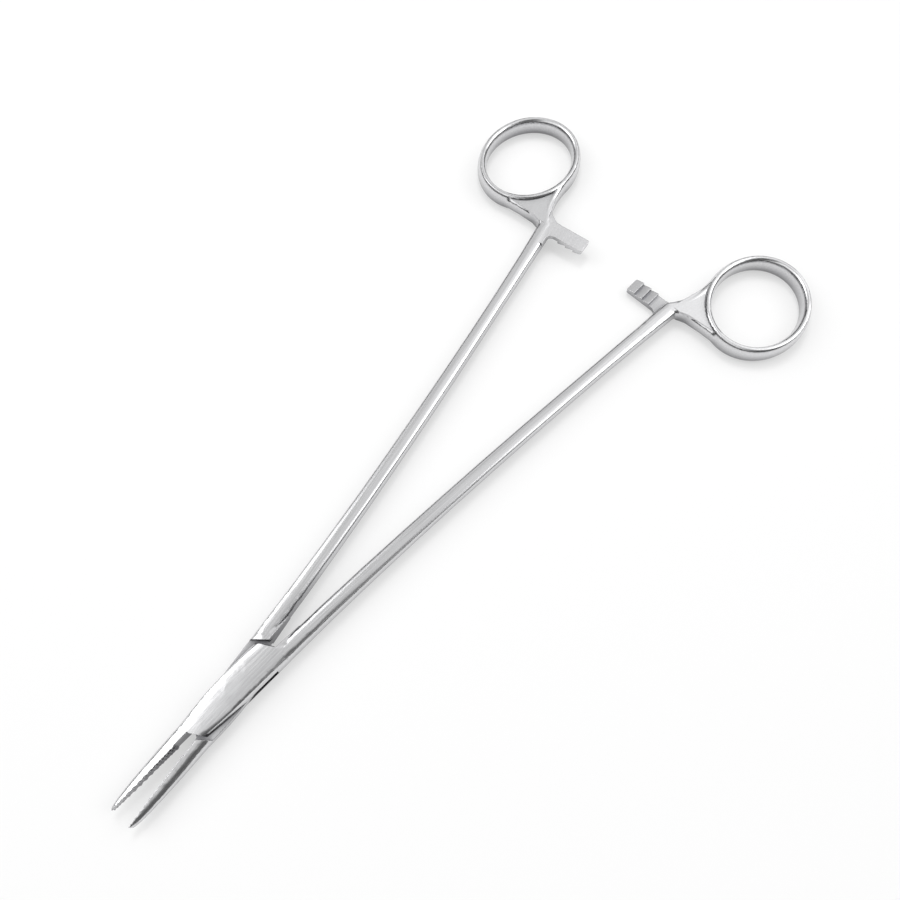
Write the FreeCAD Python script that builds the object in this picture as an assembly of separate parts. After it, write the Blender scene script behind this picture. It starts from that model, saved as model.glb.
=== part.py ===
import FreeCAD, Part
import math
import os

# Surgical needle holder with a box lock, in millimetres, lying as it rests on a table.
# +X runs from the pivot to the finger rings and +Z is up. The origin is on the pivot axis,
# on the surface that the box lock lies on. Each half is drawn closed, along its own axis u
# with v towards its own finger ring, and then turned by half the rest opening.

# Pose as it lies, in degrees between the two halves
rest_opening = 8.1

# Box lock
box_height = 7.2
box_half_width = 4.7
box_squareness = 4.5
ground_depth = 0.05         # ground off the crowned faces, top and bottom
plate_inner_end = 14.5      # pivot to the crotch, where the plate's slanted edge starts
plate_outer_end = 11.5      # pivot to the outer corner of the plate
window_end = 10.8           # pivot to the outer end of the slot's inner wall
plate_thickness = 2.4
edge_bevel = 0.5
shoulder_gap = 0.25         # male shoulder to plate edge, closed
slot_clearance = 0.05       # waist to plate, each side
wall_clearance = 0.2        # waist flank to the slot's inner wall, closed
heel_length = 8.0           # run in which the box lock dies away into each shank
heel_gap = 0.3              # each heel to the closing plane
heel_half_width = 4.95      # box lock where it meets the shanks
heel_half_height = 3.3
heel_end_half_width = 4.2   # where it has died away inside them
heel_end_half_height = 1.5
box_sections = 4            # from the pivot to each crotch
past_corner = 3.0           # cutters follow a slanted edge for this many times its length
bevel_run = 1.3             # and the tools for its bevel for this many
overlap = 1.0               # how far hidden joins run on inside the metal

# Pivot pin, ground flush with the box lock
pin_radius = 1.6
pin_clearance = 0.03

# Jaws
jaw_length = 39.0           # pivot to tip
jaw_tip_half_width = 0.6
jaw_tip_half_height = 1.35
jaw_root_half_width = 3.6
jaw_root_half_height = 2.75
jaw_squareness = 2.2
jaw_sections = 8
jaw_taper = 0.5             # power of the widening from the tip
jaw_clearance = 0.05        # each jaw's face to the closing plane, closed
bite_length = 20.0          # serrated stretch, from the tip
bite_pitch = 1.25
bite_depth = 0.32
bite_angle = 45.0
relief_depth = 0.45         # smooth hollow behind the serration

# Shanks
shank_length = 151.0        # crotch to the middle of the ratchet bar
shank_offset = 2.5          # centre line at the crotch
shank_spread = 9.65         # further spread at the ratchet bar
shank_curve = 1.55          # power of the spread
shank_root_half_width = 2.35
shank_thin_half_width = 2.1
shank_bar_half_width = 2.5
shank_root_half_height = 3.0
shank_root_share = 0.33     # share of the shank in which its root thins down
shank_thin_half_height = 2.2
shank_bar_half_height = 2.45
swell_start = 0.75          # share of the shank where it swells towards the bar
shank_squareness = 2.9
shank_sections = 10

# Finger rings
ring_spacing = 18.5         # ratchet bar to ring centre, along u
ring_rise = 18.35           # ratchet bar to ring centre, along v
ring_half_length = 16.9     # to the middle of the band
ring_half_width = 14.45
ring_tilt = -6.0
band_half_width = 1.45
ring_height = 6.5
web_half_height = 2.42
web_reach = 0.6             # share of the upper neck's half width that the web covers
web_angles = range(190, 270, 15)    # round the ring, where the web ends inside its band
neck_radius = 5.0           # bend of the upper neck, on its centre line
ring_squareness = 2.2
neck_sections = 10
neck_inset = 0.1            # necks are this much slimmer than the ring they end in

# Ratchet bars
bar_near_side = 2.8         # ratchet bar's middle line to its edge towards the jaws
bar_far_side = 2.1          # and to its edge towards the ring
bar_root_share = 0.35       # share of the lower neck that the root of the bar covers
bar_reach = 2.5             # past the closing plane, closed
bar_thickness = 2.3         # outer face to the plane between the bars
tooth_pitch = 2.8
tooth_depth = 0.85
tooth_count = 3
tooth_land = 0.25           # flat crest
tooth_undercut = 0.15       # lean of the locking face
crest_clearance = 0.07      # each bar's crests to the plane between the bars
bar_corner = 0.5
bar_near_fillet = 2.2
bar_far_fillet = 3.2
floor_cutter_radius = 10.0  # mill that clears the floor behind the last tooth
floor_bite = 0.1            # how far it cuts into the shank

quarter_points = 3          # spans in a quarter of a section

middle = box_height / 2
ring_middle = ring_height / 2
bar_u = plate_inner_end + shank_length
bar_v = shank_offset + shank_spread
ring_u = bar_u + ring_spacing
ring_v = bar_v + ring_rise
beyond = 2 * ring_v
up = FreeCAD.Vector(0, 0, 1)


def blend(start, end, share):
    return start + (end - start) * share


def section(centre, across, half_width, half_height, squareness):
    # Closed superellipse |y/a|^n + |z/b|^n = 1 in the plane of across and the vertical, in quarters
    power = 2 / squareness
    sides = [across * half_width, up * half_height, across * -half_width, up * -half_height]
    steps = [float(k) for k in range(quarter_points + 1)]
    quarters = []
    for q in range(4):
        start, end = sides[q], sides[(q + 1) % 4]
        points = [centre + start]
        for k in range(1, quarter_points):
            turn = math.pi / 2 * k / quarter_points
            points.append(centre + start * math.cos(turn) ** power + end * math.sin(turn) ** power)
        points.append(centre + end)
        curve = Part.BSplineCurve()
        curve.interpolate(Points=points, Parameters=steps, InitialTangent=end, FinalTangent=start * -1)
        quarters.append(curve.toShape())
    return Part.Wire(quarters)


def loft(stations):
    # Solid through upright sections, each (u, v, z, half width, half height, squareness)
    across = FreeCAD.Vector(0, 1, 0)
    wires = [section(FreeCAD.Vector(u, v, z), across, a, b, n) for u, v, z, a, b, n in stations]
    return Part.makeLoft(wires, True, True)


def sweep(path, band):
    # Band carried along a level path, kept upright all the way
    pipe = Part.BRepOffsetAPI.MakePipeShell(path)
    pipe.setBiNormalMode(up)
    pipe.add(band)
    pipe.build()
    pipe.makeSolid()
    return pipe.shape()


def prism(points, low, high):
    # Upright prism over a plan outline given as (u, v)
    corners = [FreeCAD.Vector(u, v, low) for u, v in points]
    outline = Part.makePolygon(corners + corners[:1])
    return Part.Face(outline).extrude(up * (high - low))


def corner_arc(before, here, after, radius):
    # Start, middle and end of the arc that rounds the corner here between two straight runs
    back = (before - here).normalize()
    ahead = (after - here).normalize()
    half = back.getAngle(ahead) / 2
    reach = radius / math.tan(half)
    bisector = (back + ahead).normalize()
    return here + back * reach, here + bisector * (radius / math.sin(half) - radius), here + ahead * reach


def rounded_prism(corners, low, high):
    # Upright prism over a plan outline given as (u, v, corner radius)
    points = [FreeCAD.Vector(u, v, low) for u, v, radius in corners]
    edges = []
    last = points[-1]
    for k, (u, v, radius) in enumerate(corners):
        start = end = points[k]
        if radius > 0:
            start, crown, end = corner_arc(points[k - 1], points[k], points[(k + 1) % len(points)], radius)
            edges.append(Part.Arc(start, crown, end).toShape())
        edges.append(Part.makeLine(last, start))
        last = end
    outline = Part.Wire(Part.__sortEdges__(edges))
    return Part.Face(outline).extrude(up * (high - low))


def plate_edge(share, shift=0.0):
    # Point on the front slanted edge of a plate, from the crotch (0) to its outer corner (1)
    return (shift - plate_inner_end + (plate_inner_end - plate_outer_end) * share,
            box_half_width * share)


def slot_wall(share, shift=0.0):
    # Point on the front inner wall of the slot, on the other side of the crotch
    return (shift - plate_inner_end + (plate_inner_end - window_end) * share,
            -box_half_width * share)


def across_gap(gap, end):
    # Shift along u that keeps a slanted edge that gap away from its mate
    run = plate_inner_end - end
    return gap * math.hypot(run, box_half_width) / box_half_width


def opposite(point):
    return (-point[0], -point[1])


def mirrored(point):
    return (point[0], -point[1])


def closed_body():
    # Both jaws and the box lock as one tapered body, before it is shared between the halves.
    # The box lock swells as a cosine about the pivot, and its end is hidden inside the shanks.
    crowned = middle + ground_depth
    stations = []
    for k in range(jaw_sections + 1):
        share = (k / jaw_sections) ** 2
        u = blend(-jaw_length, -plate_inner_end, share)
        half_width = blend(jaw_tip_half_width, jaw_root_half_width, share ** jaw_taper)
        half_height = blend(jaw_tip_half_height, jaw_root_half_height, share)
        squareness = blend(jaw_squareness, shank_squareness, share)
        stations.append((u, 0, middle, half_width, half_height, squareness))
    for k in range(1 - box_sections, box_sections + 1):
        swell = math.cos(math.pi / 2 * k / box_sections)
        width, height = heel_half_width, heel_half_height
        if k < 0:
            width, height = jaw_root_half_width, jaw_root_half_height
        u = plate_inner_end * k / box_sections
        half_width = blend(width, box_half_width, swell)
        half_height = blend(height, crowned, swell)
        squareness = blend(shank_squareness, box_squareness, swell)
        stations.append((u, 0, middle, half_width, half_height, squareness))
    heel_u = plate_inner_end + heel_length
    stations.append((heel_u, 0, middle, heel_end_half_width, heel_end_half_height, shank_squareness))
    body = loft(stations)
    floor = FreeCAD.Vector(-2 * beyond, -beyond / 2, 0)
    return body.common(Part.makeBox(4 * beyond, beyond, box_height, floor))


def centre_line(u):
    # The shank's centre line spreads as a power of the distance from the crotch
    share = max((u - plate_inner_end) / shank_length, 0)
    return shank_offset + shank_spread * share ** shank_curve


def shank_station(share):
    u = plate_inner_end + shank_length * share
    swell = max((share - swell_start) / (1 - swell_start), 0) ** 2
    half_width = blend(shank_root_half_width, shank_thin_half_width, min(share / swell_start, 1))
    half_height = blend(shank_root_half_height, shank_thin_half_height, min(share / shank_root_share, 1))
    half_width = blend(half_width, shank_bar_half_width, swell)
    half_height = blend(half_height, shank_bar_half_height, swell)
    return (u, centre_line(u), blend(middle, ring_middle, share), half_width, half_height, shank_squareness)


def ring_point(degrees):
    # Point on the middle of the ring's band
    turn = math.radians(degrees)
    tilt = math.radians(ring_tilt)
    along, side = ring_half_length * math.cos(turn), ring_half_width * math.sin(turn)
    return (ring_u + along * math.cos(tilt) - side * math.sin(tilt),
            ring_v + along * math.sin(tilt) + side * math.cos(tilt))


def neck_station(share):
    # From the ratchet bar the shank eases into the near side of the ring
    eased = 1 - (1 - share) ** 3
    end_u, end_v = ring_point(270)
    return (blend(bar_u, end_u, share), blend(bar_v, end_v, eased), ring_middle,
            blend(shank_bar_half_width, band_half_width - neck_inset, eased),
            blend(shank_bar_half_height, ring_middle - neck_inset, share ** 3),
            blend(shank_squareness, ring_squareness, share))


def shank():
    # The long part and the lower neck, each through evenly spaced sections
    long_part = loft([shank_station(k / shank_sections) for k in range(shank_sections + 1)])
    lower_neck = loft([neck_station(k / neck_sections) for k in range(neck_sections + 1)])
    return long_part.fuse(lower_neck)


def finger_ring():
    tilt = FreeCAD.Rotation(up, ring_tilt)
    centre = FreeCAD.Vector(ring_u, ring_v, ring_middle)
    outward = tilt.multVec(FreeCAD.Vector(1, 0, 0))
    path = Part.Ellipse(centre + outward * ring_half_length,
                        centre + tilt.multVec(FreeCAD.Vector(0, ring_half_width, 0)), centre)
    band = section(centre + outward * ring_half_length, outward, band_half_width, ring_middle, ring_squareness)
    return sweep(Part.Wire(path.toShape()), band)


def neck():
    # The upper neck turns out of the shank into the ring, and a web fills the corner
    side_u, side_v = ring_point(180)
    start = FreeCAD.Vector(bar_u - 2 * bar_near_side, bar_v, ring_middle)
    bend = FreeCAD.Vector(side_u, bar_v + shank_bar_half_width - band_half_width, ring_middle)
    end = FreeCAD.Vector(side_u, side_v, ring_middle)
    before, crown, after = corner_arc(start, bend, end, neck_radius)
    path = Part.Wire([Part.makeLine(start, before), Part.Arc(before, crown, after).toShape(),
                      Part.makeLine(after, end)])
    across = up.cross(bend - start).normalize()
    band = section(start, across, band_half_width - neck_inset, shank_bar_half_height - neck_inset,
                   ring_squareness)
    rim = web_reach * band_half_width
    web = [(crown.x - rim * math.cos(math.pi / 4), crown.y + rim * math.sin(math.pi / 4)),
           (after.x - rim, after.y)]
    web += [ring_point(degrees) for degrees in web_angles]
    web.append((bar_u, bar_v))
    return [sweep(path, band),
            prism(web, ring_middle - web_half_height, ring_middle + web_half_height)]


def ratchet_bar():
    # Lower bar: its teeth point up, and their locking faces look towards the shank
    low = ring_middle - bar_thickness
    crest = ring_middle - crest_clearance
    valley = crest - tooth_depth
    near, far = bar_u - bar_near_side, bar_u + bar_far_side
    inner = bar_v - shank_bar_half_width
    neck_u, neck_v = neck_station(bar_root_share)[:2]
    flare = 2 * bar_near_fillet
    plan = rounded_prism([(near - flare, centre_line(near - flare), 0),
                          (near - flare, inner - bar_near_fillet / 4, 0),
                          (near, inner, bar_near_fillet),
                          (near, -bar_reach, bar_corner),
                          (far, -bar_reach, bar_corner),
                          (far, inner, bar_far_fillet),
                          (neck_u, neck_v, 0)], low, crest)
    edge = [(-bar_reach, low), (-bar_reach, valley)]
    for k in range(tooth_count):
        face = -bar_reach + tooth_pitch * (k + 1)
        edge += [(face - tooth_land, crest), (face, crest), (face + tooth_undercut, valley)]
    edge += [(2 * bar_v, valley), (2 * bar_v, low)]
    corners = [FreeCAD.Vector(near - 2 * flare, v, z) for v, z in edge]
    profile = Part.Face(Part.makePolygon(corners + corners[:1]))
    return plan.common(profile.extrude(FreeCAD.Vector(neck_u - near + 4 * flare, 0, 0)))


def bar_floor():
    # The floor behind the last tooth runs a little way into the shank, with a rounded end
    valley = ring_middle - crest_clearance - tooth_depth
    reach = bar_v - shank_bar_half_width + floor_bite
    centre = FreeCAD.Vector(bar_u, reach - floor_cutter_radius, valley)
    return Part.makeCylinder(floor_cutter_radius, beyond, centre)


def arm(bar_above):
    # Shank, ring and ratchet bar. The upper bar is the lower one turned over, teeth down.
    floor, bar = bar_floor(), ratchet_bar()
    if bar_above:
        ring_plane = FreeCAD.Vector(0, 0, ring_middle)
        floor, bar = floor.mirror(ring_plane, up), bar.mirror(ring_plane, up)
    return shank().fuse([finger_ring()] + neck()).cut(floor).fuse(bar)


def bite():
    # Crossed V grooves for a jaw's face, which stands at v = -jaw_clearance
    face = -jaw_clearance
    height = 2 * jaw_root_half_height
    step = bite_pitch / math.sin(math.radians(bite_angle))
    count = math.ceil((bite_length + height) / step)
    profile = [(0, face - bite_depth), (bite_pitch / 2, face), (bite_pitch / 2, -face),
               (-bite_pitch / 2, -face), (-bite_pitch / 2, face)]
    grooves = []
    for lean in (-bite_angle, bite_angle):
        turn = FreeCAD.Rotation(FreeCAD.Vector(0, 1, 0), lean)
        for k in range(count):
            centre = FreeCAD.Vector(step * (k + 0.5) - jaw_length - height / 2, 0, middle)
            corners = [centre + turn.multVec(FreeCAD.Vector(x, y, -height)) for x, y in profile]
            groove = Part.Face(Part.makePolygon(corners + corners[:1]))
            grooves.append(groove.extrude(turn.multVec(up) * (2 * height)))
    cut = grooves[0].multiFuse(grooves[1:])
    limit = Part.makeBox(bite_length, height, 2 * height,
                         FreeCAD.Vector(-jaw_length, -height / 2, middle - height))
    return cut.common(limit)


def dress_jaw(half, grooves):
    # The serrated stretch, and the smooth hollow between it and the box lock
    start = bite_length - jaw_length
    hollow = Part.makeBox(-plate_inner_end - start, beyond, box_height,
                          FreeCAD.Vector(start, -jaw_clearance - relief_depth, 0))
    return half.cut([grooves, hollow])


def bevels(start, end, side):
    # Corners taken off a slanted edge, top and bottom, and off the one opposite the pivot
    start, end = FreeCAD.Vector(*start, 0), FreeCAD.Vector(*end, 0)
    inward = up.cross(end - start).normalize() * side
    spare = edge_bevel
    tools = []
    for face, out in ((box_height, 1), (0, -1)):
        base = start + up * face
        corners = [base - inward * spare + up * (out * spare),
                   base + inward * (edge_bevel + spare) + up * (out * spare),
                   base - inward * spare - up * (out * (edge_bevel + spare))]
        tool = Part.Face(Part.makePolygon(corners + corners[:1])).extrude(end - start)
        turned = tool.copy()
        turned.rotate(FreeCAD.Vector(), up, 180)
        tools += [tool, turned]
    return tools


def pivot_hole(radius):
    return Part.makeCylinder(radius, box_height)


def female_half(body, grooves):
    heel_u = plate_inner_end + heel_length
    edge_u, edge_v = plate_edge(past_corner)
    share = body.common(prism([
        (-beyond, -jaw_clearance), (-plate_inner_end, -jaw_clearance), plate_edge(0), (edge_u, edge_v),
        (heel_u, edge_v), (heel_u, heel_gap), (plate_inner_end, heel_gap), opposite(plate_edge(0)),
        opposite((edge_u, edge_v)), (-beyond, -edge_v)], 0, box_height))
    half_slot = [plate_edge(0), slot_wall(past_corner), opposite(plate_edge(past_corner, -overlap))]
    slot = prism(half_slot + [opposite(point) for point in half_slot],
                 plate_thickness, box_height - plate_thickness)
    half = dress_jaw(share.cut(bevels(plate_edge(0), plate_edge(bevel_run), -1)), grooves)
    return half.fuse(arm(False)).cut([slot, pivot_hole(pin_radius)])


def male_half(body, grooves):
    shoulder = -across_gap(shoulder_gap, plate_outer_end)
    flank = across_gap(wall_clearance, window_end)
    front, edge = mirrored(plate_edge(0, shoulder)), mirrored(plate_edge(past_corner, shoulder))
    back, rear_edge = opposite(front), opposite(edge)
    heel_u = plate_inner_end + heel_length
    jaw = body.common(prism([(-beyond, -jaw_clearance), (front[0], -jaw_clearance), edge,
                             (-beyond, edge[1])], 0, box_height))
    heel = body.common(prism([(back[0], heel_gap), rear_edge, (heel_u, rear_edge[1]),
                              (heel_u, heel_gap)], 0, box_height))
    clear = prism([(back[0], -overlap), back, rear_edge, (-heel_u, rear_edge[1]), (-heel_u, -overlap)],
                  0, box_height)
    waist = body.common(prism(waist_plan(front, shoulder, flank), plate_thickness + slot_clearance,
                              box_height - plate_thickness - slot_clearance))
    chamfers = bevels(front, mirrored(plate_edge(bevel_run, shoulder)), -1)
    thick = dress_jaw(jaw, grooves).fuse([heel, arm(True).cut(clear)]).cut(chamfers)
    return thick.fuse(waist).cut(pivot_hole(pin_radius + pin_clearance))


def waist_plan(front, shoulder, flank):
    # The waist between the plates, running on into the jaw and the heel
    flank_start, flank_end = mirrored(slot_wall(0, flank)), mirrored(slot_wall(past_corner, flank))
    sunk = mirrored(plate_edge(past_corner, shoulder - overlap))
    return [flank_start, flank_end, opposite(sunk), (overlap - front[0], heel_gap),
            opposite(flank_start), opposite(flank_end), sunk, (front[0] - overlap, -jaw_clearance)]


def pivot_pin():
    return Part.makeCylinder(pin_radius, box_height)


def place(half, turn, turned_over):
    if turned_over:
        half = half.mirror(FreeCAD.Vector(), FreeCAD.Vector(0, 1, 0))
    half.rotate(FreeCAD.Vector(), up, turn)
    return half


os.makedirs("parts", exist_ok=True)
whole, grooves = closed_body(), bite()
parts = {
    "female_half": place(female_half(whole, grooves), -rest_opening / 2, True),
    "male_half": place(male_half(whole, grooves), rest_opening / 2, False),
    "pivot_pin": pivot_pin(),
}
for name, shape in parts.items():
    shape.exportStep("parts/" + name + ".step")
    box = shape.BoundBox
    print(name, "valid", shape.isValid(), "solids", len(shape.Solids), "mm3", round(shape.Volume, 1),
          "x", round(box.XMin, 1), round(box.XMax, 1), "y", round(box.YMin, 1), round(box.YMax, 1),
          "z", round(box.ZMin, 2), round(box.ZMax, 2))
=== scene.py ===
import math
import bmesh
import bpy
import numpy
from mathutils import Matrix, Vector


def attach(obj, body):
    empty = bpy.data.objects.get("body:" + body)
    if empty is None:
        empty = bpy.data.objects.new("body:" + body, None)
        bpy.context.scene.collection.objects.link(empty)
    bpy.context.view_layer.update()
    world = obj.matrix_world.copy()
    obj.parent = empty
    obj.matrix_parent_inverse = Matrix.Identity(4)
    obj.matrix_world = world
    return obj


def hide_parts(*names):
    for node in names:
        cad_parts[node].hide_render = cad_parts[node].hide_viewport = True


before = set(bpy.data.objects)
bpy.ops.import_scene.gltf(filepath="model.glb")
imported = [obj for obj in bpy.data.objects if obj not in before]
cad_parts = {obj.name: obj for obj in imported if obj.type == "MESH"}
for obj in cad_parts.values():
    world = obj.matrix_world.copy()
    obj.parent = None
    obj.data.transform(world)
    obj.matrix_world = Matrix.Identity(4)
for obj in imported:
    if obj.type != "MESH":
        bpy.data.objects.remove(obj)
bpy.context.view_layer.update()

print("frame loaded:", ", ".join(sorted(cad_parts)))

# the instrument lies along X, with the pivot at the origin and its underside on the floor


def newMaterial(name):
    material = bpy.data.materials.new(name)
    material.use_nodes = True
    material.node_tree.nodes.clear()
    return material, material.node_tree.nodes, material.node_tree.links


def mathNode(nodes, links, operation, *values):
    # a Math node whose inputs are sockets or numbers
    node = nodes.new("ShaderNodeMath")
    node.operation = operation
    for socket, value in zip(node.inputs, values):
        if isinstance(value, (int, float)):
            socket.default_value = value
        else:
            links.new(value, socket)
    return node.outputs[0]


satinSteel = {
    "darkColour": (0.63, 0.63, 0.64, 1.0),   # bottom of a brush line
    "colour": (0.73, 0.73, 0.74, 1.0),       # crest of a brush line
    "bottom": 0.35,              # grain heights, from 0 to 1, where those two colours begin
    "crest": 0.65,
    # painted shade: an ambient occlusion mask darkens the steel towards this colour in crevices, in
    # the gap between the jaws and where the steel faces the floor
    "paintedShadeColour": (0.10, 0.10, 0.11, 1.0),
    "paintedShadeReach": 0.007,       # metres over which painted shade darkens crevices
    "paintedShadePower": 1.7,
    "paintedShadeSamples": 8,
    "roughness": 0.24,
    "anisotropy": 0.3,           # stretches highlights across the brushing
    "roughnessSpread": 0.05,     # how much the brushing varies the roughness
    "brushLength": 0.030,        # metres, of one brush line
    "brushWidth": 0.00036,
    "brushDepth": 0.000005,
    "brushDetail": 3.0,
    "blastSize": 0.00030,        # metres, grain of the rings, which aren't brushed
    "blastDetail": 2.0,
    "blastFrom": 0.150,          # distance from the pivot where the brushing starts to fade
    "blastTo": 0.172,
    "edgeRadius": 0.00025,       # metres, softened look of every sharp edge
    "edgeSamples": 4,
    "flushWithin": 0.0023,       # metres round the pivot, where the ground pin's rim stays hidden
}

# how each half lies, so that the brushing follows its shank
lie = {
    "turn": 4.05,                # degrees from X, the male half towards +Y
    "shankStart": 0.0145,        # metres from the pivot
    "shankLength": 0.151,
    "shankSpread": 0.00965,      # sideways, at the end of the shank
    "shankCurve": 1.55,          # power of the spread
}


def followShank(nodes, links, place, side):
    # the place in axes turned with one half, and how far it lies across the bent shank:
    # across = y - spread * ((x - start) / length) ^ curve
    turn = nodes.new("ShaderNodeVectorRotate")
    turn.rotation_type = "Z_AXIS"
    turn.inputs["Angle"].default_value = -side * math.radians(lie["turn"])
    links.new(place.outputs["Object"], turn.inputs["Vector"])
    turned = nodes.new("ShaderNodeSeparateXYZ")
    links.new(turn.outputs["Vector"], turned.inputs["Vector"])

    share = mathNode(nodes, links, "SUBTRACT", turned.outputs["X"], lie["shankStart"])
    share = mathNode(nodes, links, "MAXIMUM", share, 0.0)
    share = mathNode(nodes, links, "DIVIDE", share, lie["shankLength"])
    spread = mathNode(nodes, links, "POWER", share, lie["shankCurve"])
    spread = mathNode(nodes, links, "MULTIPLY", spread, side * lie["shankSpread"])
    return turned, mathNode(nodes, links, "SUBTRACT", turned.outputs["Y"], spread)


def makeGrain(nodes, links, look, place, turned, across):
    # noise drawn out along the shank, which fades into an even one towards the ring
    stretched = nodes.new("ShaderNodeCombineXYZ")
    lines = {
        "X": (turned.outputs["X"], look["brushLength"]),
        "Y": (across, look["brushWidth"]),
        "Z": (turned.outputs["Z"], look["brushWidth"]),
    }
    for axis, (position, size) in lines.items():
        links.new(mathNode(nodes, links, "DIVIDE", position, size), stretched.inputs[axis])
    brush = nodes.new("ShaderNodeTexNoise")
    brush.inputs["Scale"].default_value = 1.0        # the sizes are divided out already
    brush.inputs["Detail"].default_value = look["brushDetail"]
    links.new(stretched.outputs["Vector"], brush.inputs["Vector"])

    blast = nodes.new("ShaderNodeTexNoise")
    blast.inputs["Scale"].default_value = 1.0 / look["blastSize"]
    blast.inputs["Detail"].default_value = look["blastDetail"]
    links.new(place.outputs["Object"], blast.inputs["Vector"])

    fade = nodes.new("ShaderNodeMapRange")
    fade.inputs["From Min"].default_value = look["blastFrom"]
    fade.inputs["From Max"].default_value = look["blastTo"]
    links.new(turned.outputs["X"], fade.inputs["Value"])
    grain = nodes.new("ShaderNodeMix")
    links.new(fade.outputs["Result"], grain.inputs["Factor"])
    links.new(brush.outputs["Fac"], grain.inputs["A"])
    links.new(blast.outputs["Fac"], grain.inputs["B"])
    return grain.outputs["Result"]


def makeToneWithPaintedShade(nodes, links, look, grain):
    # dark at the bottom of the grain, pale on its crests, and darker still with painted shade in
    # crevices and gaps
    tone = nodes.new("ShaderNodeValToRGB")
    low, high = tone.color_ramp.elements
    low.position, low.color = look["bottom"], look["darkColour"]
    high.position, high.color = look["crest"], look["colour"]
    links.new(grain, tone.inputs["Fac"])
    # painted shade: where ambient occlusion finds nearby surfaces, the colour is mixed towards the
    # dark shade colour
    paintedShadeOcclusion = nodes.new("ShaderNodeAmbientOcclusion")
    paintedShadeOcclusion.samples = look["paintedShadeSamples"]
    paintedShadeOcclusion.inputs["Distance"].default_value = look["paintedShadeReach"]
    openness = mathNode(nodes, links, "POWER", paintedShadeOcclusion.outputs["AO"], look["paintedShadePower"])
    shaded = nodes.new("ShaderNodeMix")
    shaded.data_type = "RGBA"
    links.new(openness, shaded.inputs["Factor"])
    shaded.inputs[6].default_value = look["paintedShadeColour"]       # the two colour inputs
    links.new(tone.outputs["Color"], shaded.inputs[7])
    return shaded.outputs[2]


def makeRelief(nodes, links, look, grain, turned):
    # softened edges, but not round the pin, where edge radius = 0, with the grain on top
    squares = [mathNode(nodes, links, "POWER", turned.outputs[axis], 2.0) for axis in ("X", "Y")]
    fromPivot = mathNode(nodes, links, "SQRT", mathNode(nodes, links, "ADD", *squares))
    softened = mathNode(nodes, links, "GREATER_THAN", fromPivot, look["flushWithin"])
    radius = mathNode(nodes, links, "MULTIPLY", softened, look["edgeRadius"])
    softEdge = nodes.new("ShaderNodeBevel")
    softEdge.samples = look["edgeSamples"]
    links.new(radius, softEdge.inputs["Radius"])
    relief = nodes.new("ShaderNodeBump")
    relief.inputs["Strength"].default_value = 1.0
    relief.inputs["Distance"].default_value = look["brushDepth"]
    links.new(grain, relief.inputs["Height"])
    links.new(softEdge.outputs["Normal"], relief.inputs["Normal"])
    return relief.outputs["Normal"]


def makeSatinSteel(look, side):
    # brushed along the shank of one half (side 1 towards +Y, -1 towards -Y), blasted on the ring
    material, nodes, links = newMaterial("satin steel " + ("male" if side > 0 else "female"))
    output = nodes.new("ShaderNodeOutputMaterial")
    shader = nodes.new("ShaderNodeBsdfPrincipled")
    shader.inputs["Metallic"].default_value = 1.0
    shader.inputs["Anisotropic"].default_value = look["anisotropy"]
    links.new(shader.outputs["BSDF"], output.inputs["Surface"])

    place = nodes.new("ShaderNodeTexCoord")
    turned, across = followShank(nodes, links, place, side)
    grain = makeGrain(nodes, links, look, place, turned, across)
    links.new(makeToneWithPaintedShade(nodes, links, look, grain), shader.inputs["Base Color"])
    links.new(makeRelief(nodes, links, look, grain, turned), shader.inputs["Normal"])

    uneven = nodes.new("ShaderNodeMapRange")
    uneven.inputs["To Min"].default_value = look["roughness"] - look["roughnessSpread"]
    uneven.inputs["To Max"].default_value = look["roughness"] + look["roughnessSpread"]
    links.new(grain, uneven.inputs["Value"])
    links.new(uneven.outputs["Result"], shader.inputs["Roughness"])

    brushedWay = nodes.new("ShaderNodeTangent")
    brushedWay.direction_type = "RADIAL"
    brushedWay.axis = "X"
    links.new(brushedWay.outputs["Tangent"], shader.inputs["Tangent"])
    return material


finish = {
    "mergeWithin": 0.000002,     # metres
    "sharpAngle": 28.0,          # degrees, steeper edges stay crisp
}


def makeFinished(node, body, material):
    # the CAD piece again with its triangles joined, so that it shades as one smooth surface
    shape = bmesh.new()
    shape.from_mesh(node.data)
    bmesh.ops.remove_doubles(shape, verts=shape.verts, dist=finish["mergeWithin"])
    corners = [tuple(vertex.co) for vertex in shape.verts]
    triangles = [[vertex.index for vertex in face.verts] for face in shape.faces]
    shape.free()
    mesh = bpy.data.meshes.new(node.name + "_finished")
    mesh.from_pydata(corners, [], triangles)
    mesh.shade_smooth()
    mesh.set_sharp_from_angle(angle=math.radians(finish["sharpAngle"]))
    mesh.materials.append(material)
    piece = bpy.data.objects.new(node.name + "_finished", mesh)
    bpy.context.scene.collection.objects.link(piece)
    even = piece.modifiers.new("even shading", "WEIGHTED_NORMAL")
    even.mode = "FACE_AREA_WITH_ANGLE"
    even.keep_sharp = True
    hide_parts(node.name)
    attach(piece, body)


# light table: white paper with some light from below, which keeps the shadows faint
floorLook = {
    "halfSize": 3.0,             # metres
    "colour": (0.36, 0.36, 0.36, 1.0),
    "glowColour": (1.0, 1.0, 1.0, 1.0),
    "glow": 0.52,
    "roughness": 0.9,
}


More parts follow.
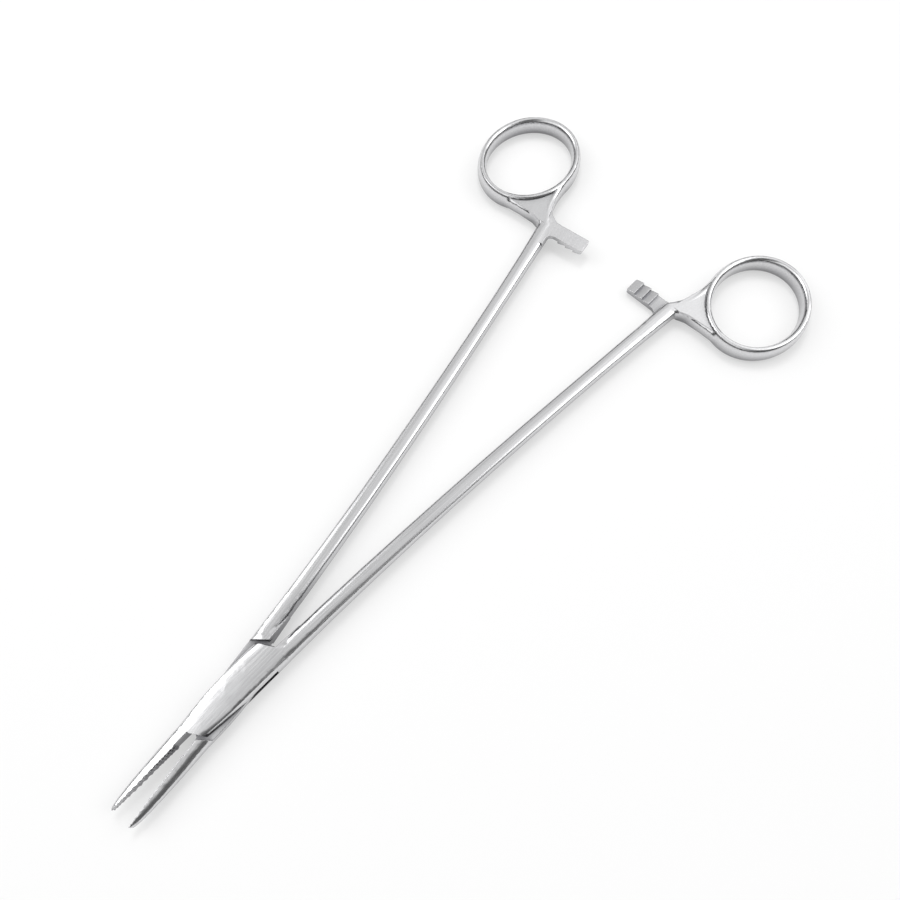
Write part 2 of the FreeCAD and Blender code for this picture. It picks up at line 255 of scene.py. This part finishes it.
def makeFloor(look):
    # flat square: x and y each run from -halfSize to halfSize, and z is 0
    ends = numpy.array([-look["halfSize"], look["halfSize"]])
    x, y = numpy.meshgrid(ends, ends)
    corners = numpy.stack([x, y, numpy.zeros_like(x)], axis=-1).reshape(-1, 3)
    mesh = bpy.data.meshes.new("floor")
    mesh.from_pydata(corners.tolist(), [], [(0, 1, 3, 2)])
    floor = bpy.data.objects.new("floor", mesh)
    bpy.context.scene.collection.objects.link(floor)

    material, nodes, links = newMaterial("light table")
    output = nodes.new("ShaderNodeOutputMaterial")
    shader = nodes.new("ShaderNodeBsdfPrincipled")
    shader.inputs["Base Color"].default_value = look["colour"]
    shader.inputs["Emission Color"].default_value = look["glowColour"]
    shader.inputs["Emission Strength"].default_value = look["glow"]
    shader.inputs["Roughness"].default_value = look["roughness"]
    shader.inputs["Specular IOR Level"].default_value = 0.0
    links.new(shader.outputs["BSDF"], output.inputs["Surface"])
    mesh.materials.append(material)


# light tent round the table
tent = {
    "bands": [                   # brightness by the sine of the height above the horizon
        (0.00, 0.02),
        (0.30, 0.03),            # dark room behind the tent's foot
        (0.46, 1.20),
        (0.72, 1.35),
        (0.90, 1.10),
        (1.00, 0.70),            # opening for the camera
    ],
    "behind": (0.97, 0.97, 0.97, 1.0),       # seen directly, the room is as pale as the floor
}

# screens between the tent and the instrument: edge and core are cosines of the angle from the
# middle of a screen, and level is the share of the light that it leaves
screens = {
    "black flag by the jaws": {
        "towards": (-0.27, -0.60, 0.75), "edge": 0.82, "core": 0.94, "level": 0.09,
    },
    "grey screen up left": {
        "towards": (0.35, 0.65, 0.72), "edge": 0.85, "core": 0.94, "level": 0.60,
    },
}


def makeTent(look, screens):
    world = bpy.data.worlds.new("light tent")
    bpy.context.scene.world = world
    world.use_nodes = True
    nodes, links = world.node_tree.nodes, world.node_tree.links
    nodes.clear()
    direction = nodes.new("ShaderNodeTexCoord")
    split = nodes.new("ShaderNodeSeparateXYZ")
    links.new(direction.outputs["Generated"], split.inputs["Vector"])
    ramp = nodes.new("ShaderNodeValToRGB")
    links.new(split.outputs["Z"], ramp.inputs["Fac"])
    stops = ramp.color_ramp.elements
    while len(stops) < len(look["bands"]):
        stops.new(0.5)
    for stop, (height, level) in zip(stops, look["bands"]):
        stop.position = height
        stop.color = (level, level, level, 1.0)

    strength = 1.0
    for screen in screens.values():
        near = nodes.new("ShaderNodeVectorMath")
        near.operation = "DOT_PRODUCT"
        links.new(direction.outputs["Generated"], near.inputs[0])
        near.inputs[1].default_value = Vector(screen["towards"]).normalized()
        shade = nodes.new("ShaderNodeMapRange")
        shade.interpolation_type = "SMOOTHSTEP"
        shade.inputs["From Min"].default_value = screen["edge"]
        shade.inputs["From Max"].default_value = screen["core"]
        shade.inputs["To Min"].default_value = 1.0
        shade.inputs["To Max"].default_value = screen["level"]
        links.new(near.outputs["Value"], shade.inputs["Value"])
        strength = mathNode(nodes, links, "MULTIPLY", strength, shade.outputs["Result"])
    lit = nodes.new("ShaderNodeBackground")
    links.new(ramp.outputs["Color"], lit.inputs["Color"])
    links.new(strength, lit.inputs["Strength"])

    pale = nodes.new("ShaderNodeBackground")
    pale.inputs["Color"].default_value = look["behind"]
    rays = nodes.new("ShaderNodeLightPath")
    choice = nodes.new("ShaderNodeMixShader")
    links.new(rays.outputs["Is Camera Ray"], choice.inputs["Fac"])
    links.new(lit.outputs["Background"], choice.inputs[1])
    links.new(pale.outputs["Background"], choice.inputs[2])
    output = nodes.new("ShaderNodeOutputWorld")
    links.new(choice.outputs["Shader"], output.inputs["Surface"])


# metres and watts, and whether the steel mirrors the lamp
lamps = {
    "left soft box": {
        "place": (-0.25, 0.95, 0.85), "width": 0.9, "height": 0.9, "power": 5.0, "mirrored": True,
    },
    "right soft box": {
        "place": (0.98, -0.82, 1.12), "width": 1.1, "height": 1.0, "power": 5.8, "mirrored": True,
    },
    "key lamp": {                # small and high up, for the tight shadow next to the instrument
        "place": (0.45, 0.32, 0.95), "width": 0.35, "height": 0.35, "power": 4.0, "mirrored": False,
    },
}
lampAim = (0.08, 0.0, 0.0)


def makeLamp(name, look):
    lamp = bpy.data.lights.new(name, "AREA")
    lamp.shape = "RECTANGLE"
    lamp.size = look["width"]
    lamp.size_y = look["height"]
    lamp.energy = look["power"]
    holder = bpy.data.objects.new(name, lamp)
    bpy.context.scene.collection.objects.link(holder)
    place = Vector(look["place"])
    turn = (place - Vector(lampAim)).to_track_quat("Z", "Y").to_matrix().to_4x4()
    holder.matrix_world = Matrix.Translation(place) @ turn
    holder.visible_glossy = look["mirrored"]


viewpoint = {
    "camera": (0.01703, -0.05710, 0.22729),
    "aim": (0.08709, 0.00009, 0.0),
    "up": (0.7747, 0.6324, 0.0),     # this way is up in the picture
    "lens": 33.844,                  # mm
    "sensor": 36.0,                  # mm
    "nearest": 0.01,                 # metres
}


def makeCamera(look):
    place, aim = Vector(look["camera"]), Vector(look["aim"])
    back = (place - aim).normalized()
    right = Vector(look["up"]).cross(back).normalized()
    turned = Matrix((right, back.cross(right), back)).transposed()
    lens = bpy.data.cameras.new("photo view")
    lens.lens = look["lens"]
    lens.sensor_width = look["sensor"]
    lens.clip_start = look["nearest"]
    camera = bpy.data.objects.new("photo view", lens)
    camera.matrix_world = Matrix.Translation(place) @ turned.to_4x4()
    bpy.context.scene.collection.objects.link(camera)
    bpy.context.scene.camera = camera


maleSteel = makeSatinSteel(satinSteel, 1)
femaleSteel = makeSatinSteel(satinSteel, -1)
makeFinished(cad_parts["female_half"], "female", femaleSteel)
makeFinished(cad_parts["pivot_pin"], "female", femaleSteel)
makeFinished(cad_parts["male_half"], "male", maleSteel)
print("finished pieces ready")

makeFloor(floorLook)
makeTent(tent, screens)
for name, look in lamps.items():
    makeLamp(name, look)
print("floor, light tent and lamps ready")

makeCamera(viewpoint)
bpy.context.scene.view_settings.view_transform = "Standard"
print("camera ready")
